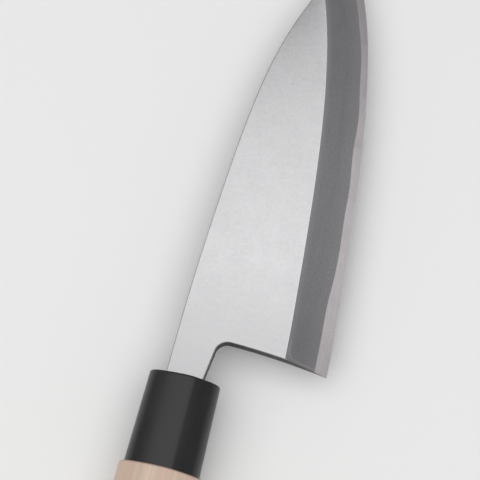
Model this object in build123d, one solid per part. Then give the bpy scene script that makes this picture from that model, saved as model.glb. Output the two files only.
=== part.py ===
from build123d import *
from math import asin, atan, degrees, radians, tan
import os

# A deba knife: a thick blade ground on its front only, with its tang set in a D-shaped wooden handle.
# Millimetres. The knife lies on its back. X runs across the blade from the spine to the edge,
# Y along the handle from the butt to the tip, and Z out of the blade's ground front.
# The pieces are drawn from the mouth of the ferrule: x = 0 is the handle's centre line,
# y = 0 is the ferrule's front face and z = 0 is the flat back of the blade.

# Outline of the blade
blade_length = 165.0
heel_setback = 12.4
heel_drop = 45.9
heel_lean = 2.85
tip_drop = 20.1
spine_height = 6.7
neck_drop = 5.9
neck_flare_angle = 7.6
choil_radius = 4.3

# Thickness and grinding of the blade
neck_thickness = 7.0
tip_thickness = 2.0
front_fall = 0.9
bevel_width = 15.05
arris_radius = 0.5
steel_thickness = 1.6
steel_start = 5.0
scarf_length = 3.0
hollow_depth = 0.35
hollow_rim = 2.6
hollow_start = 17.0
hollow_end = 11.0

# Neck and tang inside the handle
tang_length = 85.0
tang_root_width = 11.6
tang_root_thickness = 6.2
tang_end_width = 6.0
tang_end_thickness = 3.4
tang_point = 4.0

# Ferrule
ferrule_length = 31.6
ferrule_front_width = 24.3
ferrule_front_height = 19.0
ferrule_flare = 0.75
ferrule_wall = 2.2
ferrule_face_thickness = 3.0
ferrule_edge_chamfer = 0.5
mouth_gap = 0.9
mouth_corner_radius = 1.2
seal_recess = 0.3

# Wooden handle
handle_length = 130.0
wood_front_width = 28.7
wood_front_height = 24.0
wood_flare = 1.3
wood_front_radius = 1.2
butt_chamfer = 1.4
spigot_chamfer = 1.0
spigot_clearance = 0.15
spigot_end_gap = 0.5
tang_clearance = 0.15
tang_hole_spare = 4.0

# The D of the handle: where its ridge stands across the width, how far it rises out of the oval,
# how its flanks slope there, and how tight its sides are, as a share of half the width
ferrule_ridge_share = 0.125
wood_ridge_share = 0.08
ridge_rise = 0.5
wide_flank_slope = 0.10
narrow_flank_slope = 0.52
side_radius_share = 0.62

# Every cut runs past the metal or wood by this
overrun = 6.0

# Blade outline: how far from the ferrule to the tip, then how far the spine has come down
# to the tip's level, and how far the edge has come up to it from the heel's
outline_shares = [
    (0.20, 0.0220, 0.042),
    (0.34, 0.0620, 0.108),
    (0.48, 0.1160, 0.188),
    (0.61, 0.1910, 0.288),
    (0.72, 0.2985, 0.405),
    (0.82, 0.4665, 0.551),
    (0.91, 0.6900, 0.740),
    (1.00, 1.0000, 1.000),
    (1.045, 1.170, 1.140),
]
heel_spine_share = 0.0055

# Weld line of the steel: distance from the ferrule, and height above the back
weld_shares = [
    (0.10, 1.03), (0.16, 0.965), (0.22, 0.89), (0.285, 0.675), (0.36, 0.57), (0.42, 0.54),
    (0.475, 0.46), (0.56, 0.46), (0.63, 0.32), (0.70, 0.315), (0.76, 0.27), (0.85, 0.27),
    (0.92, 0.24), (1.05, 0.20),
]

# Hollow of the back: distance along it, depth there, and how much of that depth is below the back's plane
hollow_shares = [
    (-0.03, 0.90, -0.30),
    (0.03, 0.95, 0.50),
    (0.12, 1.00, 0.95),
    (0.30, 1.00, 1.00),
    (0.50, 0.80, 1.00),
    (0.70, 0.60, 1.00),
    (0.86, 0.50, 0.85),
    (0.95, 0.45, 0.45),
    (1.03, 0.40, -0.40),
]

heel_top = heel_setback + heel_lean
neck_inside = ferrule_face_thickness
axis_height = neck_thickness / 2
blank_side = heel_drop + overrun
blank_top = neck_thickness + overrun
length_fall = (neck_thickness - tip_thickness) / blade_length
cross_fall = front_fall / (heel_drop - bevel_width + spine_height)


def crosswise(y):
    """A plane across the knife at y, with X to the edge and Z up."""
    return Plane.XZ.offset(-y)


def front_level(x, y):
    """Height of the blade's flat front above its back."""
    return neck_thickness - length_fall * y - cross_fall * (x + spine_height)


def spine_x(share):
    return -spine_height + share * (tip_drop + spine_height)


def edge_x(share):
    return heel_drop - share * (heel_drop - tip_drop)


def stations():
    """The blade's outline from the heel to past the tip, as rows of y, spine x and edge x."""
    rows = [(heel_setback, spine_x(heel_spine_share), heel_drop)]
    for length_share, spine_share, edge_share in outline_shares:
        rows.append((length_share * blade_length, spine_x(spine_share), edge_x(edge_share)))
    return rows


def span_at(y):
    """Spine x and edge x at y, between the two stations beside it."""
    rows = stations()
    for near, far in zip(rows, rows[1:]):
        if y <= far[0]:
            break
    along = (y - near[0]) / (far[0] - near[0])
    return tuple(near[i] + along * (far[i] - near[i]) for i in (1, 2))


def blank_plan():
    """The forged blank from above: true at the spine, neck, choil and heel, and too wide at the edge."""
    rows = stations()
    flare = tan(radians(neck_flare_angle))
    neck_end = (neck_drop - neck_inside * flare, -neck_inside)
    choil_corner = (neck_drop + heel_top * flare, heel_top)
    mouth = (-spine_height, 0)
    reach = heel_drop - choil_corner[0]
    heel_radius = (reach**2 + heel_lean**2) / (2 * heel_lean)
    heel_turn = degrees(asin((blank_side - choil_corner[0]) / heel_radius))

    spine = Spline(mouth, *[(x, y) for y, x, edge in rows], tangents=[(0, 1), (rows[-1][1] - rows[-2][1],
                   rows[-1][0] - rows[-2][0])])
    heel = JernArc(choil_corner, (1, 0), heel_radius, -heel_turn)
    ends = Polyline(spine @ 1, (blank_side, (spine @ 1).Y), heel @ 1)
    neck = Polyline(choil_corner, neck_end, (-spine_height, -neck_inside), mouth)
    plan = make_face([spine, ends, heel, neck])
    corner = plan.vertices().sort_by_distance((*choil_corner, 0))[0]
    return fillet(corner, choil_radius)


def bevel_cutter():
    """What the grinding of the front takes away, from the shinogi line down to the edge and beyond."""
    rows = stations()
    heel_y, heel_spine, heel_edge = rows[0]
    rows.insert(0, (heel_y - 2 * overrun, heel_spine, heel_edge))
    sections = []
    for y, spine, edge in rows:
        steepness = front_level(edge - bevel_width, y) / bevel_width
        inner = edge - bevel_width - overrun
        outer = blank_side + overrun
        corners = [
            (inner, (edge - inner) * steepness),
            (outer, (edge - outer) * steepness),
            (outer, blank_top + overrun),
            (inner, blank_top + overrun),
        ]
        sections.append(crosswise(y) * make_face(Polyline(*corners, close=True)))
    return loft(sections)


def hollow_cutter():
    """The shallow hollow of the back, inside a flat rim, fading out before the heel and before the tip."""
    start = hollow_start
    length = blade_length - hollow_end - start
    sections = []
    for length_share, depth_share, lift_share in hollow_shares:
        y = start + length_share * length
        spine, edge = span_at(y)
        middle = (spine + edge) / 2
        half = (edge - spine) / 2 - hollow_rim
        depth = depth_share * hollow_depth
        crown = lift_share * depth
        wide = half + hollow_rim
        shoulder = crown - depth * (wide / half)**2
        arch = ThreePointArc((middle - wide, shoulder), (middle, crown), (middle + wide, shoulder))
        base = Polyline(arch @ 1, (middle + wide, -overrun), (middle - wide, -overrun), arch @ 0)
        sections.append(crosswise(y) * make_face([arch, base]))
    return loft(sections)


def ground_blade():
    """Blade and neck in one, ground to their outer shape and not yet parted at the weld."""
    blank = extrude(blank_plan(), amount=blank_top)
    front = Plane(origin=(-spine_height, 0, neck_thickness), z_dir=(cross_fall, length_fall, 1))
    blank = split(blank, bisect_by=front, keep=Keep.BOTTOM)
    rim = blank.faces().sort_by(Axis.Z)[-1].edges().sort_by(Axis.Y)[1:-1]
    blank = fillet(rim.filter_by(lambda edge: edge.center().X < heel_drop), arris_radius)
    return blank - bevel_cutter() - hollow_cutter()


def weld_slab():
    """Everything below the weld, from the scarfed end of the steel in the neck to past the tip."""
    line = [(length_share * blade_length, height_share * steel_thickness)
            for length_share, height_share in weld_shares]
    scarf_top = (steel_start + scarf_length, line[0][1])
    weld = Spline(scarf_top, *line)
    under = Polyline(weld @ 1, ((weld @ 1).X, -overrun), (steel_start - overrun, -overrun),
                     (steel_start, 0), scarf_top)
    profile = Plane.YZ * make_face([weld, under])
    return extrude(profile, amount=blank_side + overrun, both=True)


def tang_form(growth, length):
    """The forged tang, tapered in width and thickness to a blunt point; its hole is the same, grown."""
    root = tang_root_width / 2 + growth
    end = tang_end_width / 2 + growth
    plan = Polygon((root, 0), (end, tang_point - length), (0, -length), (-end, tang_point - length),
                   (-root, 0), align=None)
    thick = tang_root_thickness / 2 + growth
    thin = tang_end_thickness / 2 + growth
    side = Polygon((0, axis_height + thick), (-length, axis_height + thin), (-length, axis_height - thin),
                   (0, axis_height - thick), align=None)
    upright = extrude(plan, amount=blank_top + overrun, both=True)
    sideways = extrude(Plane.YZ * side, amount=blank_side, both=True)
    return upright & sideways


def quarter(side, end, end_slope):
    """A tight arc that leaves the side upright, then a wide one that meets the end point at its slope."""
    inwards = -side / abs(side)
    rise = end[1] / abs(end[1])
    radius = side_radius_share * abs(side)
    middle = Vector(side + inwards * radius, 0)
    reach = Vector(*end) - middle
    normal = Vector(inwards * end_slope, -rise).normalized()
    wide_radius = (radius**2 - reach.dot(reach)) / (2 * (reach.dot(normal) + radius))
    wide_middle = Vector(*end) + normal * wide_radius
    join = middle + (middle - wide_middle).normalized() * radius
    tight = TangentArc((side, 0), join, tangent=(0, rise))
    return [tight, TangentArc(join, end, tangent=tight % 1)]


def bore_oval(clearance):
    """Section of the bore in the ferrule, or of the spigot, which is smaller by the clearance all round."""
    inset = ferrule_wall + clearance
    side = ferrule_front_width / 2 - inset
    top = ferrule_front_height / 2 - inset
    ends = [(x, (0, y)) for x in (-side, side) for y in (-top, top)]
    return make_face([arc for x, end in ends for arc in quarter(x, end, 0)])


def d_section(width, height, ridge_share):
    """The handle's section: half an oval behind, and in front two flanks that meet at a ridge."""
    half = width / 2
    ridge = (ridge_share * width, height / 2 + ridge_rise)
    back = quarter(-half, (0, -height / 2), 0) + quarter(half, (0, -height / 2), 0)
    front = quarter(-half, ridge, wide_flank_slope) + quarter(half, ridge, narrow_flank_slope)
    return make_face(back + front)


def tapered(section, start, end, spread):
    """A section carried back from start to end, with its side moved out by the spread on the way."""
    place = crosswise(start) * Pos(0, axis_height)
    return extrude(place * section, amount=start - end, taper=-degrees(atan(spread / (start - end))))


def mouth_slot(depth):
    """The slot through the ferrule's face that the neck goes in by, wider than the neck all round."""
    middle = (neck_drop - spine_height) / 2
    width = spine_height + neck_drop + 2 * mouth_gap
    opening = RectangleRounded(width, neck_thickness + 2 * mouth_gap, mouth_corner_radius)
    return extrude(crosswise(0) * Pos(middle, axis_height) * opening, amount=depth)


def make_blade():
    """The soft iron with its neck and tang, and the hard steel welded to its back."""
    body = ground_blade()
    slab = weld_slab()
    iron = (body - slab) + tang_form(0, tang_length)
    return iron, body & slab


def make_ferrule():
    """Moulded collar, closed in front but for the slot, and open behind for the spigot."""
    section = d_section(ferrule_front_width, ferrule_front_height, ferrule_ridge_share)
    outer = tapered(section, 0, -ferrule_length, ferrule_flare)
    outer = chamfer(outer.faces().sort_by(Axis.Y)[-1].edges(), ferrule_edge_chamfer)
    bore = tapered(bore_oval(0), -ferrule_face_thickness, -ferrule_length, ferrule_flare)
    return outer - bore - mouth_slot(ferrule_face_thickness + overrun)


def make_handle():
    """Wooden handle, shouldered and turned down to a spigot in front, with the tang's hole burnt in."""
    section = d_section(wood_front_width, wood_front_height, wood_ridge_share)
    wood = tapered(section, -ferrule_length, -handle_length, wood_flare)
    wood = fillet(wood.faces().sort_by(Axis.Y)[-1].edges(), wood_front_radius)
    wood = chamfer(wood.faces().sort_by(Axis.Y)[0].edges(), butt_chamfer)
    spigot_end = -ferrule_face_thickness - spigot_end_gap
    spigot = tapered(bore_oval(spigot_clearance), spigot_end, -ferrule_length, ferrule_flare)
    spigot = chamfer(spigot.faces().sort_by(Axis.Y)[-1].edges(), spigot_chamfer)
    return wood + spigot - tang_form(tang_clearance, tang_length + tang_hole_spare)


iron, steel = make_blade()
ferrule = make_ferrule()
seal = mouth_slot(ferrule_face_thickness) - mouth_slot(seal_recess) - iron
handle = make_handle()

pieces = {
    "blade_iron": iron,
    "blade_steel": steel,
    "ferrule": ferrule,
    "mouth_seal": seal,
    "handle": handle,
}

# The origin is the middle of the knife's box, at the level of the handle's lowest line
box = Compound(children=[Compound(piece.solids()) for piece in pieces.values()]).bounding_box()
home = Pos(-(box.min.X + box.max.X) / 2, -(box.min.Y + box.max.Y) / 2, -box.min.Z)

os.makedirs("parts", exist_ok=True)
for name, piece in pieces.items():
    export_step(home * piece, f"parts/{name}.step")

print("box", box.min, box.max)
print("butt face", home * Pos(0, -handle_length, axis_height))
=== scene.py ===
import math

import bmesh
import bpy
import numpy as np
from mathutils import Matrix, Vector
from mathutils.geometry import intersect_point_line


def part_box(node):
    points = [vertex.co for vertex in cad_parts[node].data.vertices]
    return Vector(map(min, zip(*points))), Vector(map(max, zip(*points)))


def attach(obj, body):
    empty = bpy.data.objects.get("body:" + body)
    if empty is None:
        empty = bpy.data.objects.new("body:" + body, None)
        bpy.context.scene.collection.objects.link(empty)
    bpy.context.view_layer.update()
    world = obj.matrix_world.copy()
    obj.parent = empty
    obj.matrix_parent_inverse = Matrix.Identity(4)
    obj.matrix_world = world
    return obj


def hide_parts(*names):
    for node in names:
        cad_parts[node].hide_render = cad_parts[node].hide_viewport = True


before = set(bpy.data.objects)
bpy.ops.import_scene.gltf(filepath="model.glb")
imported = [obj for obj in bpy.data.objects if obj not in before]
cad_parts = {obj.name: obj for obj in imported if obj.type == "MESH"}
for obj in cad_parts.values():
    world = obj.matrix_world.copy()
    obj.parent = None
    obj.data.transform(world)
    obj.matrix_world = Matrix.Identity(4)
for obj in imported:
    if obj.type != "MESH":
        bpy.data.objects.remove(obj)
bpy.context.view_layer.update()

# The soft iron of the blade with its neck and tang. It is forged to a flat blank that thins towards the tip,
# its rim is eased, and its front is ground down to the edge in one flat bevel, left cloudy from the stone.
# It is drawn in millimetres from the middle of the ferrule's mouth, level with the blade's flat back.
handle_low, handle_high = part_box("handle")
mouth = Vector(((handle_low.x + handle_high.x) / 2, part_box("ferrule")[1].y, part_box("blade_steel")[0].z))
home = Matrix.Translation(mouth) @ Matrix.Scale(0.001, 4)

blade_length = 165.0
heel_setback = 12.4
heel_drop = 45.9
heel_lean = 2.85
tip_drop = 20.1
spine_height = 6.7
neck_drop = 5.9
neck_flare = math.radians(7.6)
neck_inside = 3.0
choil_radius = 4.3
neck_thickness = 7.0
tip_thickness = 2.0
front_fall = 0.9
bevel_width = 15.05
arris_radius = 0.5
arris_steps = 4
overrun = 6.0
stone_lip = 0.4

choil_steps = 13
heel_steps = 33
spine_steps = 160
bevel_steps = 170

neck_shade_length = 0.045
shinogi_highlight_band = 0.06, 0.22
dark_at_heel = 18, 45
dark_at_tip = 85, 125
light_at_weld = 5.0
light_at_shinogi = 2.2
heel_sweep = 4.0
sweep_width = 0.9
sweep_fade = 0.4
sweep_reach = 5.0, 9.0

outline_shares = [
    (0.20, 0.0220, 0.042),
    (0.34, 0.0620, 0.108),
    (0.48, 0.1160, 0.188),
    (0.61, 0.1910, 0.288),
    (0.72, 0.2985, 0.405),
    (0.82, 0.4665, 0.551),
    (0.91, 0.6900, 0.740),
    (1.00, 1.0000, 1.000),
    (1.045, 1.170, 1.140),
]
heel_spine_share = 0.0055

heel_top = heel_setback + heel_lean
blank_side = heel_drop + overrun
blank_top = neck_thickness + overrun
length_fall = (neck_thickness - tip_thickness) / blade_length
cross_fall = front_fall / (heel_drop - bevel_width + spine_height)


def faired(points):
    """The curve that a bent batten takes through the points: a function of their first coordinate."""
    at, value = np.array(points, float).T
    gap = np.diff(at)
    slope = np.diff(value) / gap
    system = np.eye(len(at))
    pull = np.zeros(len(at))
    for i in range(1, len(at) - 1):
        system[i, i - 1:i + 2] = gap[i - 1], 2 * (gap[i - 1] + gap[i]), gap[i]
        pull[i] = 6 * (slope[i] - slope[i - 1])
    bend = np.linalg.solve(system, pull)

    def curve(where):
        i = np.clip(np.searchsorted(at, where) - 1, 0, len(gap) - 1)
        a, b = at[i + 1] - where, where - at[i]
        return ((bend[i] * a**3 + bend[i + 1] * b**3) / (6 * gap[i])
                + (value[i] / gap[i] - bend[i] * gap[i] / 6) * a
                + (value[i + 1] / gap[i] - bend[i + 1] * gap[i] / 6) * b)

    return curve


def front_level(x, y):
    """Height of the blade's flat front above its back."""
    return neck_thickness - length_fall * y - cross_fall * (x + spine_height)


outline = [(heel_setback, heel_spine_share, 0.0)] + [(share * blade_length, s, e) for share, s, e in outline_shares]
spine_line = faired([(0, -spine_height)] + [(y, -spine_height + s * (tip_drop + spine_height)) for y, s, e in outline])
edge_line = faired([(0, heel_drop)] + [(y, heel_drop - e * (heel_drop - tip_drop)) for y, s, e in outline])
far_end = outline[-1][0]


def node(tree, kind, wired=None, **settings):
    """A node of that kind, with its settings, and with a value or another node's output in each socket named."""
    made = tree.nodes.new(kind)
    for name, value in settings.items():
        setattr(made, name, value)
    for socket, value in (wired or {}).items():
        if isinstance(value, bpy.types.NodeSocket):
            tree.links.new(value, made.inputs[socket])
        else:
            made.inputs[socket].default_value = value
    return made


def new_finish(name, **constants):
    """A material with one shader, whose constant sockets are set here. Returns the material, its tree and shader."""
    material = bpy.data.materials.new(name)
    material.use_nodes = True
    shader = material.node_tree.nodes["Principled BSDF"]
    for socket, value in constants.items():
        shader.inputs[socket.replace("_", " ")].default_value = value
    return material, material.node_tree, shader


def noise(tree, vector, scale, size=1.0, detail=2.0, roughness=0.5, distortion=0.0):
    """Noise over a vector that is first stretched by the scale."""
    stretched = node(tree, "ShaderNodeMapping", {"Vector": vector, "Scale": scale})
    wired = {"Vector": stretched.outputs[0], "Scale": size, "Detail": detail, "Roughness": roughness,
             "Distortion": distortion}
    return node(tree, "ShaderNodeTexNoise", wired).outputs[0]


def ramp(tree, value, low, high, low_out, high_out):
    """The value brought from one range to another, held at the ends."""
    wired = {0: value, 1: low, 2: high, 3: low_out, 4: high_out}
    return node(tree, "ShaderNodeMapRange", wired).outputs[0]


def tint(tree, share, dark, light):
    """Colour between dark and light by the share."""
    return node(tree, "ShaderNodeMix", {0: share, 6: (*dark, 1), 7: (*light, 1)}, data_type="RGBA").outputs[2]


def blend_colours(tree, share, under, over):
    return node(tree, "ShaderNodeMix", {0: share, 6: under, 7: over}, data_type="RGBA").outputs[2]


def weighed(tree, first, second, share):
    """Two values mixed."""
    return node(tree, "ShaderNodeMix", {0: share, 2: first, 3: second}).outputs[0]


def bump(tree, height, depth):
    return node(tree, "ShaderNodeBump", {"Height": height, "Distance": depth, "Strength": 1.0}).outputs[0]


def satin_front():
    """Flat ground and brought to a satin: a soft uneven mottle and the faintest marks across the blade, with
    painted shade that darkens it a little towards the neck, and a painted highlight along the very shinogi line."""
    material, tree, shader = new_finish("satin iron", Metallic=1.0)
    place = node(tree, "ShaderNodeTexCoord").outputs["Object"]
    lines = node(tree, "ShaderNodeUVMap", uv_map="lines").outputs[0]
    along = node(tree, "ShaderNodeSeparateXYZ", {0: place}).outputs[1]
    marks = noise(tree, place, (60, 1500, 60), detail=3)
    mottle = noise(tree, place, (110, 80, 110), detail=4, roughness=0.55)
    specks = noise(tree, place, (700, 700, 700), detail=3, roughness=0.6)
    share = weighed(tree, weighed(tree, mottle, specks, 0.55), marks, 0.15)
    face = tint(tree, ramp(tree, share, 0.35, 0.65, 0, 1), (0.513, 0.510, 0.518), (0.579, 0.576, 0.583))
    # Painted shade: the front is darkened towards the neck.
    neck_shade = ramp(tree, along, mouth.y, mouth.y + neck_shade_length, 0.8, 0)
    base = blend_colours(tree, neck_shade, face, (0.405, 0.402, 0.408, 1))
    from_shinogi = node(tree, "ShaderNodeSeparateXYZ", {0: lines}).outputs[1]
    # Painted highlight: a bright hairline on the front along the shinogi line.
    shinogi_highlight = ramp(tree, from_shinogi, *shinogi_highlight_band, 0.35, 0)
    tree.links.new(blend_colours(tree, shinogi_highlight, base, (0.74, 0.74, 0.75, 1)), shader.inputs["Base Color"])
    tree.links.new(ramp(tree, share, 0.3, 0.7, 0.26, 0.28), shader.inputs["Roughness"])
    tree.links.new(bump(tree, specks, 0.000002), shader.inputs["Normal"])
    return material


def cloudy_bevel():
    """Iron of the bevel, dulled by the natural stone to a fine-grained cloudy grey. It is lighter at the shinogi
    line and towards the weld, darker at the heel and the tip, and has a curved mark in the heel's corner."""
    material, tree, shader = new_finish("cloudy iron", Metallic=1.0)
    along = node(tree, "ShaderNodeUVMap", uv_map="grinding").outputs[0]
    lines = node(tree, "ShaderNodeUVMap", uv_map="lines").outputs[0]
    clouds = noise(tree, along, (0.11, 0.30, 1), detail=4, roughness=0.55, distortion=0.4)
    streaks = noise(tree, along, (0.07, 2.2, 1), detail=4, roughness=0.6)
    grain = noise(tree, along, (1.2, 1.7, 1), detail=3, roughness=0.6)
    share = weighed(tree, weighed(tree, clouds, streaks, 0.25), grain, 0.5)
    face = tint(tree, ramp(tree, share, 0.35, 0.65, 0, 1), (0.185, 0.180, 0.189), (0.262, 0.256, 0.267))
    distance = node(tree, "ShaderNodeSeparateXYZ", {0: along}).outputs[0]
    heel_dark = ramp(tree, distance, *dark_at_heel, 0.3, 0)
    tip_dark = ramp(tree, distance, *dark_at_tip, 0, 0.3)
    ends = node(tree, "ShaderNodeMath", {0: heel_dark, 1: tip_dark}, operation="ADD").outputs[0]
    uneven = blend_colours(tree, ends, face, (0.15, 0.144, 0.149, 1))
    between = node(tree, "ShaderNodeSeparateXYZ", {0: lines}).outputs
    lighter = node(tree, "ShaderNodeMath", {
        0: ramp(tree, between[0], 0, light_at_weld, 0.22, 0),
        1: ramp(tree, between[1], -light_at_shinogi, 0, 0, 0.35)}, operation="ADD").outputs[0]
    base = blend_colours(tree, lighter, uneven, (0.36, 0.353, 0.365, 1))
    corner = node(tree, "ShaderNodeUVMap", uv_map="heel corner").outputs[0]
    inside = node(tree, "ShaderNodeSeparateXYZ", {0: corner}).outputs
    swept = node(tree, "ShaderNodeVectorMath", {0: node(tree, "ShaderNodeCombineXYZ", {
        0: ramp(tree, inside[0], 0, heel_sweep, heel_sweep, 0),
        1: ramp(tree, inside[1], 0, heel_sweep, heel_sweep, 0)}).outputs[0]}, operation="LENGTH").outputs["Value"]
    inner = heel_sweep - sweep_width
    outer = heel_sweep - sweep_fade
    rise = ramp(tree, swept, inner - sweep_fade, inner, 0, 1)
    fall = ramp(tree, swept, outer - sweep_fade, outer, 1, 0)
    near_heel = ramp(tree, inside[1], *sweep_reach, 0.22, 0)
    mark = node(tree, "ShaderNodeMath", {0: near_heel, 1: rise}, operation="MULTIPLY").outputs[0]
    mark = node(tree, "ShaderNodeMath", {0: mark, 1: fall}, operation="MULTIPLY").outputs[0]
    tree.links.new(blend_colours(tree, mark, base, (0.50, 0.47, 0.47, 1)), shader.inputs["Base Color"])
    tree.links.new(ramp(tree, clouds, 0.3, 0.7, 0.44, 0.56), shader.inputs["Roughness"])
    tree.links.new(bump(tree, streaks, 0.000006), shader.inputs["Normal"])
    return material


def forged_side():
    """Spine, neck and heel end: ground along the blade to a darker satin."""
    material, tree, shader = new_finish("ground iron side", Metallic=1.0)
    place = node(tree, "ShaderNodeTexCoord").outputs["Object"]
    marks = noise(tree, place, (900, 60, 1400), detail=3)
    mottle = noise(tree, place, (90, 60, 90), detail=3)
    share = weighed(tree, mottle, marks, 0.5)
    face = tint(tree, ramp(tree, share, 0.3, 0.7, 0, 1), (0.25, 0.245, 0.245), (0.37, 0.365, 0.365))
    tree.links.new(face, shader.inputs["Base Color"])
    tree.links.new(ramp(tree, marks, 0.25, 0.75, 0.32, 0.45), shader.inputs["Roughness"])
    tree.links.new(bump(tree, marks, 0.000005), shader.inputs["Normal"])
    return material


def painted_shade_heel():
    """Choil, heel end and the neck's side above them: faintly brown from the forge, with painted shade that makes them
    near black.
    """
    material, tree, shader = new_finish("dark iron painted shade", Metallic=1.0)
    place = node(tree, "ShaderNodeTexCoord").outputs["Object"]
    scale = noise(tree, place, (500, 500, 700), detail=4, roughness=0.6)
    # Painted shade: a near-black colour over a faint brown forge patina.
    face = tint(tree, ramp(tree, scale, 0.3, 0.7, 0, 1), (0.033, 0.027, 0.025), (0.075, 0.064, 0.060))
    tree.links.new(face, shader.inputs["Base Color"])
    tree.links.new(ramp(tree, scale, 0.3, 0.7, 0.42, 0.6), shader.inputs["Roughness"])
    tree.links.new(bump(tree, scale, 0.00001), shader.inputs["Normal"])
    return material


satin, cloudy, side, shaded_heel_side = satin_front(), cloudy_bevel(), forged_side(), painted_shade_heel()


def skin(name, rings, finishes):
    """A closed skin over rings of points. The finishes are those of the first cap, each band and the last cap."""
    count = len(rings[0])
    slots = list(dict.fromkeys(finishes))
    points = [point for ring in rings for point in ring]
    faces = [list(range(count))[::-1]]
    for row in range(len(rings) - 1):
        near, far = row * count, (row + 1) * count
        for i in range(count):
            after = (i + 1) % count
            faces.append([near + i, near + after, far + after, far + i])
    faces.append([len(points) - count + i for i in range(count)])
    mesh = bpy.data.meshes.new(name)
    mesh.from_pydata([tuple(map(float, point)) for point in points], [], faces)
    for finish in slots:
        mesh.materials.append(finish)
    bands = [finishes[0]] + [finish for finish in finishes[1:-1] for i in range(count)] + [finishes[-1]]
    mesh.polygons.foreach_set("material_index", [slots.index(finish) for finish in bands])
    form = bmesh.new()
    form.from_mesh(mesh)
    if form.calc_volume(signed=True) < 0:
        bmesh.ops.reverse_faces(form, faces=form.faces)
    form.to_mesh(mesh)
    form.free()
    piece = bpy.data.objects.new(name, mesh)
    bpy.context.scene.collection.objects.link(piece)
    return piece


def carve(body, tool, operation):
    """The body with the tool's form taken away, kept in common or added; new faces have the tool's finish."""
    cut = body.modifiers.new("cut", "BOOLEAN")
    cut.object, cut.operation, cut.solver, cut.material_mode = tool, operation, "EXACT", "TRANSFER"
    shape = body.evaluated_get(bpy.context.evaluated_depsgraph_get())
    mesh = bpy.data.meshes.new_from_object(shape)
    body.modifiers.clear()
    body.data = mesh


def blank_plan():
    """The blank from above, from the back of the neck round by the choil, the heel and the tip to the spine.
    Each point has the share of the arris that its rim gets."""
    flare = math.tan(neck_flare)
    corner_x = neck_drop + heel_top * flare
    reach = heel_drop - corner_x
    heel_radius = (reach**2 + heel_lean**2) / (2 * heel_lean)
    heel_middle = np.array((corner_x, heel_top - heel_radius))
    offset = neck_drop + choil_radius / math.cos(neck_flare) - corner_x
    a, b = 1 + flare**2, 2 * (offset * flare - heel_middle[1])
    c = offset**2 + heel_middle[1]**2 - (heel_radius - choil_radius)**2
    choil_y = (-b + math.sqrt(b**2 - 4 * a * c)) / (2 * a)
    choil_middle = np.array((corner_x + offset + flare * choil_y, choil_y))
    choil_out = choil_middle - heel_middle
    heel_turn = math.atan2(choil_out[1], choil_out[0])
    side_turn = math.acos((blank_side - corner_x) / heel_radius)

    plan = [(-spine_height, -neck_inside, 0), (neck_drop - neck_inside * flare, -neck_inside, 0), (neck_drop, 0, 1)]
    for turn in np.linspace(math.pi - neck_flare, heel_turn, choil_steps):
        plan.append((*(choil_middle + choil_radius * np.array((math.cos(turn), math.sin(turn)))), 1))
    for turn in np.linspace(heel_turn, side_turn, heel_steps)[1:]:
        x, y = heel_middle + heel_radius * np.array((math.cos(turn), math.sin(turn)))
        plan.append((x, y, 1 if x < heel_drop else 0))
    plan.append((blank_side, far_end, 0))
    for y in np.linspace(far_end, 0, spine_steps):
        plan.append((float(spine_line(y)), y, 1))
    return plan


def forge_blank():
    """The blank from its back up to the tilted front, with a rounded rim."""
    plan = np.array(blank_plan())
    flat, share = plan[:, :2], plan[:, 2]
    run = np.roll(flat, -1, 0) - flat
    run /= np.linalg.norm(run, axis=1)[:, None]
    normal = np.stack((-run[:, 1], run[:, 0]), 1)
    mitre = normal + np.roll(normal, 1, 0)
    mitre /= (1 + np.sum(normal * np.roll(normal, 1, 0), 1))[:, None]
    rings = [np.column_stack((flat, np.zeros(len(flat))))]
    for step in range(arris_steps + 1):
        turn = math.pi / 2 * step / arris_steps
        inset = flat + mitre * (arris_radius * (1 - math.cos(turn)) * share)[:, None]
        sunk = arris_radius * (1 - math.sin(turn)) * share
        rings.append(np.column_stack((inset, front_level(inset[:, 0], inset[:, 1]) - sunk)))
    return skin("blade_iron_visual", rings, [side, side, side] + [satin] * arris_steps)


def bevel_stone():
    """What grinding the bevel takes off: everything in front of a plane from the shinogi line to the edge."""
    rings = []
    for y in np.linspace(0, far_end + overrun, bevel_steps):
        edge = min(float(edge_line(min(y, far_end))), heel_drop)
        steepness = front_level(edge - bevel_width, y) / bevel_width
        inner, outer = edge - bevel_width - overrun, blank_side + overrun
        rings.append([(inner, y, (edge - inner) * steepness), (edge + stone_lip, y, -stone_lip * steepness),
                      (outer, y, (edge - outer) * steepness), (outer, y, blank_top + overrun),
                      (inner, y, blank_top + overrun)])
    return skin("bevel stone", rings, [cloudy] * (len(rings) + 1))


# The hard steel of the blade, forged to the iron's back. It is the whole back, where a long shallow hollow
# leaves a flat rim, and it shows in front as the polished strip along the edge, below the wavy weld line.
steel_thickness = 1.6
steel_start = 5.0
scarf_length = 3.0
hollow_depth = 0.35
hollow_rim = 2.6
hollow_start = 17.0
hollow_end = 11.0

tang_length = 85.0
tang_root_width = 11.6
tang_root_thickness = 6.2
tang_end_width = 6.0
tang_end_thickness = 3.4
tang_point = 4.0
tang_blunt = 0.3
axis_height = neck_thickness / 2

hollow_rows = 80
hollow_points = 33
weld_steps = 120
grinding_step = 1.0
needle_height = 0.03
merge_distance = 0.000002
rim_level = 0.001
strip_greying = 30, 150
edge_highlight_band = 0.10, 0.30

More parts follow.
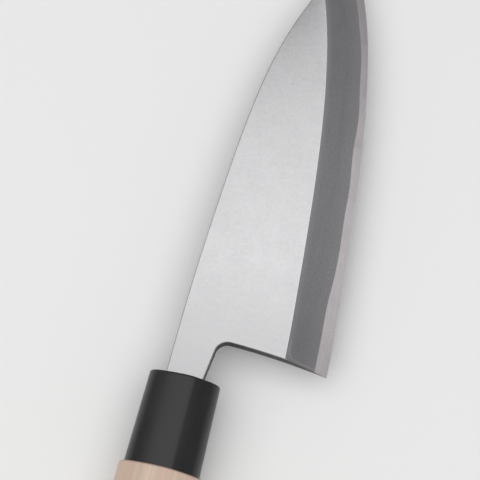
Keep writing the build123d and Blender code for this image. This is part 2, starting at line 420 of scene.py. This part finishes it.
weld_shares = [
    (0.10, 1.03), (0.16, 0.965), (0.22, 0.89), (0.285, 0.675), (0.36, 0.57), (0.42, 0.54),
    (0.475, 0.46), (0.56, 0.46), (0.63, 0.32), (0.70, 0.315), (0.76, 0.27), (0.85, 0.27),
    (0.92, 0.24), (1.05, 0.20),
]
hollow_shares = [
    (-0.03, 0.90, -0.30),
    (0.03, 0.95, 0.50),
    (0.12, 1.00, 0.95),
    (0.30, 1.00, 1.00),
    (0.50, 0.80, 1.00),
    (0.70, 0.60, 1.00),
    (0.86, 0.50, 0.85),
    (0.95, 0.45, 0.45),
    (1.03, 0.40, -0.40),
]
scarf_top = steel_start + scarf_length
weld_line = faired([(scarf_top, weld_shares[0][1] * steel_thickness)]
                   + [(share * blade_length, high * steel_thickness) for share, high in weld_shares])


def polished_strip():
    """Hard steel at the edge, taken to a finer stone: warm fine streaks along the edge, and a painted highlight on the
    honed very edge.
    """
    material, tree, shader = new_finish("polished steel", Metallic=1.0)
    along = node(tree, "ShaderNodeUVMap", uv_map="grinding").outputs[0]
    streaks = noise(tree, along, (0.045, 5.2, 1), detail=3)
    patches = noise(tree, along, (0.12, 0.5, 1), detail=3)
    share = weighed(tree, streaks, patches, 0.35)
    face = tint(tree, ramp(tree, share, 0.32, 0.68, 0, 1), (0.374, 0.343, 0.349), (0.458, 0.436, 0.448))
    distance = node(tree, "ShaderNodeSeparateXYZ", {0: along}).outputs
    greying = ramp(tree, distance[0], *strip_greying, 0, 0.3)
    greyer = blend_colours(tree, greying, face, (0.25, 0.24, 0.245, 1))
    # Painted highlight: lighter in the last few tenths of a millimetre, where the honed edge catches the light.
    edge_highlight = ramp(tree, distance[1], *edge_highlight_band, 0.12, 0)
    tree.links.new(blend_colours(tree, edge_highlight, greyer, (0.62, 0.61, 0.62, 1)), shader.inputs["Base Color"])
    tree.links.new(ramp(tree, streaks, 0.3, 0.7, 0.24, 0.34), shader.inputs["Roughness"])
    tree.links.new(bump(tree, streaks, 0.000003), shader.inputs["Normal"])
    return material


def ground_back(name, lengthwise):
    """Steel of the back: its flat rim is stoned along the blade, and its hollow is ground across."""
    material, tree, shader = new_finish(name, Metallic=1.0)
    place = node(tree, "ShaderNodeTexCoord").outputs["Object"]
    marks = noise(tree, place, (2200, 40, 40) if lengthwise else (45, 2400, 45), detail=3)
    mottle = noise(tree, place, (60, 40, 60), detail=3)
    share = weighed(tree, mottle, marks, 0.45)
    rim_pair = (0.47, 0.465, 0.475), (0.58, 0.575, 0.585)
    hollow_pair = (0.36, 0.355, 0.365), (0.47, 0.465, 0.475)
    face = tint(tree, ramp(tree, share, 0.3, 0.7, 0, 1), *(rim_pair if lengthwise else hollow_pair))
    tree.links.new(face, shader.inputs["Base Color"])
    tree.links.new(ramp(tree, marks, 0.25, 0.75, 0.22, 0.34), shader.inputs["Roughness"])
    tree.links.new(bump(tree, marks, 0.000004), shader.inputs["Normal"])
    return material


strip = polished_strip()
back_rim, back_hollow = ground_back("stoned back", True), ground_back("hollow ground back", False)


def hollow_wheel():
    """What hollowing the back takes off: shallow across the blade, fading out before the heel and the tip."""
    share, depth_share, lift_share = zip(*hollow_shares)
    depth_line, lift_line = faired(list(zip(share, depth_share))), faired(list(zip(share, lift_share)))
    run = blade_length - hollow_end - hollow_start
    rings = []
    for along in np.linspace(share[0], share[-1], hollow_rows):
        y = hollow_start + along * run
        spine, edge = float(spine_line(y)), float(edge_line(y))
        middle, half = (spine + edge) / 2, (edge - spine) / 2 - hollow_rim
        depth = float(depth_line(along)) * hollow_depth
        crown = float(lift_line(along)) * depth
        across = np.linspace(-(half + hollow_rim), half + hollow_rim, hollow_points)
        arch = [(middle + s, y, crown - depth * (s / half)**2) for s in across]
        rings.append(arch + [(middle + across[-1], y, -overrun), (middle + across[0], y, -overrun)])
    return skin("hollow wheel", rings, [back_hollow] * (len(rings) + 1))


def weld_slab():
    """Everything behind the weld, from the scarfed end of the steel in the neck to past the tip."""
    slab_end = weld_shares[-1][0] * blade_length
    profile = [(steel_start - overrun, -overrun), (steel_start, 0)]
    profile += [(y, float(weld_line(y))) for y in np.linspace(scarf_top, slab_end, weld_steps)]
    profile += [(slab_end, -overrun)]
    rings = [[(x, y, z) for y, z in profile] for x in (-blank_side, blank_side + overrun)]
    return skin("weld", rings, [side] * 3)


def tang(growth, length):
    """The tang, tapered in width and thickness to a blunt point. Its hole in the wood is the same, grown."""
    root, end = tang_root_width / 2 + growth, tang_end_width / 2 + growth
    thick, thin = tang_root_thickness / 2 + growth, tang_end_thickness / 2 + growth
    shoulder = thin + (thick - thin) * tang_point / length
    rings = []
    for y, half, high in ((0, root, thick), (tang_point - length, end, shoulder), (-length, tang_blunt, thin)):
        rings.append([(-half, y, axis_height - high), (half, y, axis_height - high),
                      (half, y, axis_height + high), (-half, y, axis_height + high)])
    return skin("tang", rings, [side] * 4)


def drop_needles(form):
    """Takes out the points that only break an almost straight edge, where both faces would fold a needle over it."""
    spare = []
    for point in form.verts:
        if len(point.link_edges) == 2:
            ends = [edge.other_vert(point).co for edge in point.link_edges]
            if (intersect_point_line(point.co, *ends)[0] - point.co).length < needle_height:
                spare.append(point)
    bmesh.ops.dissolve_verts(form, verts=spare)


def map_grinding(piece):
    """Three maps in millimetres, true over short lengths of the blade: along the edge and in from it, the
    distances from the weld and from the shinogi line, and those into the bevel's corner at the heel."""
    mesh = piece.data
    form = bmesh.new()
    form.from_mesh(mesh)
    for y in np.arange(0, blade_length, grinding_step):
        bmesh.ops.bisect_plane(form, geom=form.verts[:] + form.edges[:] + form.faces[:],
                               plane_co=(0, y, 0), plane_no=(0, 1, 0))
    drop_needles(form)
    form.to_mesh(mesh)
    form.free()
    place = np.zeros(len(mesh.vertices) * 3)
    mesh.vertices.foreach_get("co", place)
    corner = np.zeros(len(mesh.loops), int)
    mesh.loops.foreach_get("vertex_index", corner)
    x, y, z = place.reshape(-1, 3)[corner].T
    edge = edge_line(np.clip(y, 0, far_end))
    steepness = front_level(edge - bevel_width, y) / bevel_width
    from_edge = edge - x
    from_weld = from_edge - weld_line(np.clip(y, scarf_top, far_end)) / steepness
    from_heel = y - heel_setback - heel_lean * (1 - ((x - neck_drop) / (heel_drop - neck_drop))**2)
    for name, across, up in (("grinding", y, from_edge), ("lines", from_weld, from_edge - bevel_width),
                             ("heel corner", bevel_width - from_edge, from_heel)):
        layer = mesh.uv_layers.new(name=name)
        layer.data.foreach_set("uv", np.stack((across, up), 1).ravel())


def settle(piece, sharp_angle=30.0):
    """Brings a finished piece home, and shades it smooth but where finishes meet or its skin turns sharply."""
    mesh = piece.data
    mesh.transform(home)
    form = bmesh.new()
    form.from_mesh(mesh)
    bmesh.ops.remove_doubles(form, verts=form.verts, dist=merge_distance)
    for edge in form.edges:
        faces = edge.link_faces
        edge.smooth = (len(faces) == 2 and faces[0].material_index == faces[1].material_index
                       and edge.calc_face_angle(0) < math.radians(sharp_angle))
    for face in form.faces:
        face.smooth = True
    form.to_mesh(mesh)
    form.free()


def swap_finish(piece, old, new):
    for i, finish in enumerate(piece.data.materials):
        if finish == old:
            piece.data.materials[i] = new


def paint_heel_shade(piece):
    """Gives the rim from the neck round the choil to the heel, where it faces the edge or the handle, the dark iron
    that paints shade on it.
    """
    mesh = piece.data
    mesh.materials.append(shaded_heel_side)
    sides = mesh.materials.find(side.name)
    for face in mesh.polygons:
        outwards = face.normal.x > 0.1 or face.normal.y < -0.1
        if face.material_index == sides and outwards and face.center.y > 0 and abs(face.normal.z) < 0.9:
            face.material_index = len(mesh.materials) - 1


iron = forge_blank()
for tool, operation in ((tang(0, tang_length), "UNION"), (bevel_stone(), "DIFFERENCE"),
                        (hollow_wheel(), "DIFFERENCE")):
    carve(iron, tool, operation)
    bpy.data.objects.remove(tool)
steel = bpy.data.objects.new("blade_steel_visual", iron.data.copy())
bpy.context.scene.collection.objects.link(steel)
weld = weld_slab()
carve(iron, weld, "DIFFERENCE")
carve(steel, weld, "INTERSECT")
bpy.data.objects.remove(weld)
neck_core = bpy.data.objects.new("neck core", iron.data.copy())
bpy.context.scene.collection.objects.link(neck_core)
swap_finish(steel, cloudy, strip)
for piece in (iron, steel):
    paint_heel_shade(piece)

for face in steel.data.polygons:
    if face.normal.z < -0.999 and max(steel.data.vertices[i].co.z for i in face.vertices) < rim_level:
        if back_rim.name not in steel.data.materials:
            steel.data.materials.append(back_rim)
        face.material_index = steel.data.materials.find(back_rim.name)

for piece, name in ((iron, "blade_iron"), (steel, "blade_steel")):
    map_grinding(piece)
    settle(piece)
    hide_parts(name)
    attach(piece, "root")

# The ferrule: a glossy black moulded collar with the D shape of the handle. It is closed in front but for the
# slot that the neck goes in by, and pressed on the handle's spigot behind.
ferrule_length = 31.6
ferrule_width = 24.3
ferrule_height = 19.0
ferrule_flare = 0.75
ferrule_ridge_share = 0.095
ferrule_wall = 2.2
ferrule_face = 3.0
ferrule_rim_radius = 0.6
ridge_rise = 0.5
wide_flank_slope = 0.10
narrow_flank_slope = 0.42
side_radius_share = 0.62
ridge_rounding = 1.6
mouth_gap = 0.9
mouth_corner_radius = 1.2
slot_overrun = 1.0

tight_steps = 40
wide_steps = 60
crown_steps = 9
points_around = 192
rows_along = 24
corner_steps = 8
rim_steps = 4


def quarter(side_x, end, end_slope):
    """Points of a tight arc that leaves the side upright, then of a wide one that meets the end at its slope."""
    inwards, rise = -math.copysign(1, side_x), math.copysign(1, end[1])
    radius = side_radius_share * abs(side_x)
    end = np.array(end)
    middle = np.array((side_x + inwards * radius, 0))
    reach = end - middle
    normal = np.array((inwards * end_slope, -rise)) / math.hypot(end_slope, 1)
    wide_radius = (radius**2 - reach @ reach) / (2 * (reach @ normal + radius))
    wide_middle = end + normal * wide_radius
    joined = middle - wide_middle
    turns = [math.atan2(joined[1], joined[0]), math.atan2(*(end - wide_middle)[::-1])]
    start = 0 if side_x > 0 else math.copysign(math.pi, turns[0])
    tight = [middle + radius * np.array((math.cos(turn), math.sin(turn)))
             for turn in np.linspace(start, turns[0], tight_steps)]
    wide = [wide_middle + wide_radius * np.array((math.cos(turn), math.sin(turn)))
            for turn in np.linspace(*turns, wide_steps)]
    return tight[:-1] + wide


def closed_curve(name, points):
    """A closed curve through points of a section, upright across the handle."""
    curve = bpy.data.curves.new(name, "CURVE")
    curve.dimensions = "3D"
    spline = curve.splines.new("POLY")
    spline.points.add(len(points) - 1)
    for point, (x, z) in zip(spline.points, points):
        point.co = (x, 0, z, 1)
    spline.use_cyclic_u = True
    return curve


def d_section(width, height, ridge_share):
    """Half an oval behind, and in front two flanks that meet at a ridge, which is rubbed a little round."""
    half, top = width / 2, height / 2
    ridge = np.array((ridge_share * width, top + ridge_rise))
    narrow = [p for p in quarter(half, ridge, narrow_flank_slope) if np.linalg.norm(p - ridge) > ridge_rounding]
    wide = [p for p in quarter(-half, ridge, wide_flank_slope) if np.linalg.norm(p - ridge) > ridge_rounding]
    crown = [(1 - t)**2 * narrow[-1] + 2 * t * (1 - t) * ridge + t**2 * wide[-1]
             for t in np.linspace(0, 1, crown_steps)]
    right, left = quarter(half, (0, -top), 0), quarter(-half, (0, -top), 0)
    return right[:0:-1] + narrow[:-1] + crown + wide[-2::-1] + left[1:-1]


def oval_section(width, height):
    half, top = width / 2, height / 2
    upper_right, upper_left = quarter(half, (0, top), 0), quarter(-half, (0, top), 0)
    right, left = quarter(half, (0, -top), 0), quarter(-half, (0, -top), 0)
    return right[:0:-1] + upper_right[:-1] + upper_left[:0:-1] + left[:-1]


def tapering_form():
    """Node tree that carries a closed section back along the handle, spreading its sides on the way. Its ends
    are closed."""
    tree = bpy.data.node_groups.new("tapering form", "GeometryNodeTree")
    tree.is_modifier = True
    kinds = {"Section": "Geometry", "Length": "Float", "Half Width": "Float", "Half Height": "Float",
             "Spread": "Float", "Points Around": "Int", "Rows Along": "Int", "Finish": "Material"}
    for name, kind in kinds.items():
        tree.interface.new_socket(name, in_out="INPUT", socket_type="NodeSocket" + kind)
    tree.interface.new_socket("Form", in_out="OUTPUT", socket_type="NodeSocketGeometry")
    given = node(tree, "NodeGroupInput").outputs

    def maths(operation, first, second=0.0):
        return node(tree, "ShaderNodeMath", {0: first, 1: second}, operation=operation).outputs[0]

    tube = node(tree, "GeometryNodeMeshCylinder", {"Vertices": given["Points Around"],
                "Side Segments": given["Rows Along"], "Radius": 1.0, "Depth": 1.0}, fill_type="NGON")
    spot = node(tree, "ShaderNodeSeparateXYZ", {0: node(tree, "GeometryNodeInputPosition").outputs[0]}).outputs
    around = maths("FRACT", maths("DIVIDE", maths("ARCTAN2", spot[1], spot[0]), 2 * math.pi))
    along = maths("ADD", spot[2], 0.5)
    drawn = node(tree, "GeometryNodeSampleCurve", {"Curves": given["Section"], "Factor": around}, mode="FACTOR")
    section = node(tree, "ShaderNodeSeparateXYZ", {0: drawn.outputs["Position"]}).outputs
    spread = maths("MULTIPLY", given["Spread"], along)
    wider = maths("ADD", maths("DIVIDE", spread, given["Half Width"]), 1.0)
    higher = maths("ADD", maths("DIVIDE", spread, given["Half Height"]), 1.0)
    across = maths("MULTIPLY", section[0], wider)
    back = maths("MULTIPLY", maths("MULTIPLY", given["Length"], along), -1.0)
    place = node(tree, "ShaderNodeCombineXYZ", {0: across, 1: back, 2: maths("MULTIPLY", section[2], higher)})
    formed = node(tree, "GeometryNodeSetPosition", {"Geometry": tube.outputs["Mesh"], "Position": place.outputs[0]})
    real = node(tree, "GeometryNodeRealizeInstances", {"Geometry": formed.outputs[0]})
    finished = node(tree, "GeometryNodeSetMaterial", {"Geometry": real.outputs[0], "Material": given["Finish"]})
    node(tree, "NodeGroupOutput", {0: finished.outputs[0]})
    return tree


tapering = tapering_form()


def taper_back(name, section, start, **inputs):
    """A plain solid made by the tapering form from a section, from start backwards."""
    drawn = bpy.data.objects.new(name + " section", closed_curve(name, section))
    bpy.context.scene.collection.objects.link(drawn)
    form = drawn.modifiers.new("form", "NODES")
    form.node_group = tapering
    identifiers = {item.name: item.identifier for item in tapering.interface.items_tree if item.in_out == "INPUT"}
    for label, value in {"Points Around": points_around, "Rows Along": rows_along, **inputs}.items():
        form[identifiers[label]] = value
    mesh = bpy.data.meshes.new_from_object(drawn.evaluated_get(bpy.context.evaluated_depsgraph_get()))
    bpy.data.objects.remove(drawn)
    shape = bmesh.new()
    shape.from_mesh(mesh)
    if shape.calc_volume(signed=True) < 0:
        bmesh.ops.reverse_faces(shape, faces=shape.faces)
    shape.to_mesh(mesh)
    shape.free()
    mesh.transform(Matrix.Translation((0, start, axis_height)))
    piece = bpy.data.objects.new(name, mesh)
    bpy.context.scene.collection.objects.link(piece)
    return piece


def ease_rim(piece, level, radius, steps):
    """Rounds the rim of the end face that lies at that level."""
    form = bmesh.new()
    form.from_mesh(piece.data)
    rim = [edge for edge in form.edges if all(abs(v.co.y - level) < rim_level for v in edge.verts)]
    bmesh.ops.bevel(form, geom=rim, offset=radius, segments=steps, profile=0.5, affect="EDGES", material=-1)
    form.to_mesh(piece.data)
    form.free()


def slot_form(name, near, far, finish):
    """The rounded slot round the neck, as a solid between two levels."""
    middle = (neck_drop - spine_height) / 2
    half_width = (spine_height + neck_drop) / 2 + mouth_gap
    half_height = neck_thickness / 2 + mouth_gap
    ring = []
    for quarter_turn, (right, up) in enumerate(((1, 1), (-1, 1), (-1, -1), (1, -1))):
        for step in range(corner_steps + 1):
            turn = math.pi / 2 * (quarter_turn + step / corner_steps)
            ring.append((middle + right * (half_width - mouth_corner_radius) + mouth_corner_radius * math.cos(turn),
                         axis_height + up * (half_height - mouth_corner_radius)
                         + mouth_corner_radius * math.sin(turn)))
    return skin(name, [[(x, y, z) for x, z in ring] for y in (near, far)], [finish] * 3)


def gloss_black():
    """Moulded resin: deep black with a gloss that fine rubbing has softened unevenly."""
    material, tree, shader = new_finish("black moulding", IOR=1.5)
    place = node(tree, "ShaderNodeTexCoord").outputs["Object"]
    rubbed = noise(tree, place, (220, 90, 220), detail=4)
    scuffs = noise(tree, place, (2600, 120, 2600), detail=2)
    share = weighed(tree, rubbed, scuffs, 0.4)
    face = tint(tree, ramp(tree, share, 0.3, 0.7, 0, 1), (0.005, 0.005, 0.006), (0.011, 0.011, 0.012))
    tree.links.new(face, shader.inputs["Base Color"])
    tree.links.new(ramp(tree, share, 0.3, 0.7, 0.27, 0.38), shader.inputs["Roughness"])
    tree.links.new(bump(tree, rubbed, 0.00001), shader.inputs["Normal"])
    return material


black = gloss_black()
ferrule = taper_back(
    "ferrule_visual", d_section(ferrule_width, ferrule_height, ferrule_ridge_share), 0.0,
    **{"Length": ferrule_length, "Half Width": ferrule_width / 2, "Half Height": ferrule_height / 2,
       "Spread": ferrule_flare, "Finish": black})
ease_rim(ferrule, 0.0, ferrule_rim_radius, rim_steps)
bore_width, bore_height = ferrule_width - 2 * ferrule_wall, ferrule_height - 2 * ferrule_wall
bore = taper_back(
    "bore", oval_section(bore_width, bore_height), -ferrule_face,
    **{"Length": ferrule_length, "Half Width": bore_width / 2, "Half Height": bore_height / 2,
       "Spread": ferrule_flare, "Finish": black})
slot = slot_form("slot", slot_overrun, -2 * ferrule_face, black)
for tool in (bore, slot):
    carve(ferrule, tool, "DIFFERENCE")
    bpy.data.objects.remove(tool)
settle(ferrule)
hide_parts("ferrule")
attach(ferrule, "root")

# The filler round the neck in the ferrule's slot: a dull dark resin, cast a little below the ferrule's face,
# which keeps water off the tang.
seal_recess = 0.3


def dull_resin():
    material, tree, shader = new_finish("dark resin", IOR=1.5)
    place = node(tree, "ShaderNodeTexCoord").outputs["Object"]
    grit = noise(tree, place, (900, 900, 900), detail=3)
    tree.links.new(tint(tree, grit, (0.018, 0.015, 0.014), (0.045, 0.036, 0.031)), shader.inputs["Base Color"])
    tree.links.new(ramp(tree, grit, 0.3, 0.7, 0.5, 0.75), shader.inputs["Roughness"])
    tree.links.new(bump(tree, grit, 0.00003), shader.inputs["Normal"])
    return material


seal = slot_form("mouth_seal_visual", -seal_recess, -ferrule_face, dull_resin())
carve(seal, neck_core, "DIFFERENCE")
bpy.data.objects.remove(neck_core)
settle(seal)
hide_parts("mouth_seal")
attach(seal, "root")

# The handle: pale magnolia wood, bare and smooth, shaped to a D with a rounded shoulder at the ferrule. Its
# turned-down spigot is inside the ferrule, and the tang is burnt into it.
handle_length = 130.0
wood_width = 28.7
wood_height = 24.0
wood_flare = 1.3
wood_ridge_share = 0.08
wood_front_radius = 1.2
butt_radius = 1.8
spigot_clearance = 0.15
spigot_end = -3.5
tang_clearance = 0.15
tang_hole_spare = 4.0

shoulder_steps = 5
butt_steps = 3
joint_shadow_start = 0.0001
joint_shadow_end = 0.0007


def magnolia():
    """Fine straight grain along the handle in tan, pinkish and reddish stripes, with short dark pores. The growth
    rings stand upright across the handle, and the butt shows their ends."""
    material, tree, shader = new_finish("magnolia", IOR=1.45)
    place = node(tree, "ShaderNodeTexCoord").outputs["Object"]
    bands = noise(tree, place, (330, 9, 70), detail=2, distortion=0.3)
    grain = noise(tree, place, (1500, 22, 350), detail=3)
    pores = noise(tree, place, (3200, 160, 3200), detail=1)
    red = noise(tree, place, (150, 6, 90), detail=2)
    pale = tint(tree, ramp(tree, bands, 0.35, 0.65, 0, 1), (0.60, 0.46, 0.358), (0.728, 0.572, 0.46))
    pink = blend_colours(tree, ramp(tree, red, 0.52, 0.68, 0, 0.75), pale, (0.642, 0.428, 0.353, 1))
    fine = blend_colours(tree, ramp(tree, grain, 0.55, 0.75, 0, 0.45), pink, (0.503, 0.364, 0.278, 1))
    dotted = blend_colours(tree, ramp(tree, pores, 0.70, 0.80, 0, 0.4), fine, (0.33, 0.22, 0.16, 1))
    along = node(tree, "ShaderNodeSeparateXYZ", {0: place}).outputs[1]
    front = mouth.y - ferrule_length * 0.001
    # Painted shadow: a thin dark reddish band along the wood's front edge, where it meets the ferrule.
    joint_shadow = ramp(tree, along, front - joint_shadow_end, front - joint_shadow_start, 0, 0.75)
    tree.links.new(blend_colours(tree, joint_shadow, dotted, (0.16, 0.075, 0.05, 1)), shader.inputs["Base Color"])
    tree.links.new(ramp(tree, grain, 0.3, 0.7, 0.52, 0.64), shader.inputs["Roughness"])
    tree.links.new(bump(tree, weighed(tree, grain, pores, 0.5), 0.00003), shader.inputs["Normal"])
    return material


wood = magnolia()
handle = taper_back(
    "handle_visual", d_section(wood_width, wood_height, wood_ridge_share), -ferrule_length,
    **{"Length": handle_length - ferrule_length, "Half Width": wood_width / 2, "Half Height": wood_height / 2,
       "Spread": wood_flare, "Finish": wood})
ease_rim(handle, -ferrule_length, wood_front_radius, shoulder_steps)
ease_rim(handle, -handle_length, butt_radius, butt_steps)
spigot_width, spigot_height = bore_width - 2 * spigot_clearance, bore_height - 2 * spigot_clearance
spigot = taper_back(
    "spigot", oval_section(spigot_width, spigot_height), spigot_end,
    **{"Length": ferrule_length, "Half Width": spigot_width / 2, "Half Height": spigot_height / 2,
       "Spread": ferrule_flare, "Finish": wood})
tang_hole = tang(tang_clearance, tang_length + tang_hole_spare)
carve(handle, spigot, "UNION")
carve(handle, tang_hole, "DIFFERENCE")
bpy.data.objects.remove(spigot)
bpy.data.objects.remove(tang_hole)
settle(handle)
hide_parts("handle")
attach(handle, "root")

# The studio: a pale table under a wide soft lamp, which hangs over the butt of the handle and a little to the
# spine's side, and even pale light from all round.
floor_size = 6.0
sky_strength = 0.41
lamp_height = 1.1
lamp_shift, lamp_setback = -0.2, -0.165
lamp_width, lamp_length = 2.4, 1.6
lamp_radiance = 1.0

floor_mesh = bpy.data.meshes.new("floor")
floor_mesh.from_pydata([(x * floor_size, y * floor_size, 0) for x, y in ((-1, -1), (1, -1), (1, 1), (-1, 1))],
                       [], [(0, 1, 2, 3)])
floor = bpy.data.objects.new("floor", floor_mesh)
bpy.context.scene.collection.objects.link(floor)
paper, paper_tree, paper_shader = new_finish("pale table", Roughness=0.8, Base_Color=(0.93, 0.93, 0.92, 1))
floor_mesh.materials.append(paper)

world = bpy.data.worlds.new("studio")
bpy.context.scene.world = world
world.use_nodes = True
world.node_tree.nodes["Background"].inputs["Color"].default_value = (0.98, 0.99, 1.0, 1)
world.node_tree.nodes["Background"].inputs["Strength"].default_value = sky_strength

softbox = bpy.data.lights.new("softbox", "AREA")
softbox.shape = "RECTANGLE"
softbox.size, softbox.size_y = lamp_width, lamp_length
softbox.energy = lamp_radiance * math.pi * lamp_width * lamp_length
lamp = bpy.data.objects.new("softbox", softbox)
lamp.location = (lamp_shift, lamp_setback, lamp_height)
bpy.context.scene.collection.objects.link(lamp)

# The camera stands over the knife, a little to the right of the handle and back from the blade. It looks steeply
# down at a point on the front, so that tip and butt run out of the picture.
camera_azimuth = math.radians(14.11)
camera_elevation = math.radians(75)
camera_distance = 0.620
camera_lens, camera_sensor = 134.85, 36
aim = home @ Vector((5.76, 52.24, 0))
towards_camera = Vector((math.sin(camera_azimuth) * math.cos(camera_elevation),
                         -math.cos(camera_azimuth) * math.cos(camera_elevation), math.sin(camera_elevation)))
camera = bpy.data.objects.new("camera", bpy.data.cameras.new("camera"))
camera.data.lens = camera_lens
camera.data.sensor_width = camera_sensor
camera.location = aim + camera_distance * towards_camera
camera.rotation_euler = (-towards_camera).to_track_quat("-Z", "Y").to_euler()
bpy.context.scene.collection.objects.link(camera)
bpy.context.scene.camera = camera

bpy.context.scene.view_settings.view_transform = "Standard"

bpy.context.view_layer.update()
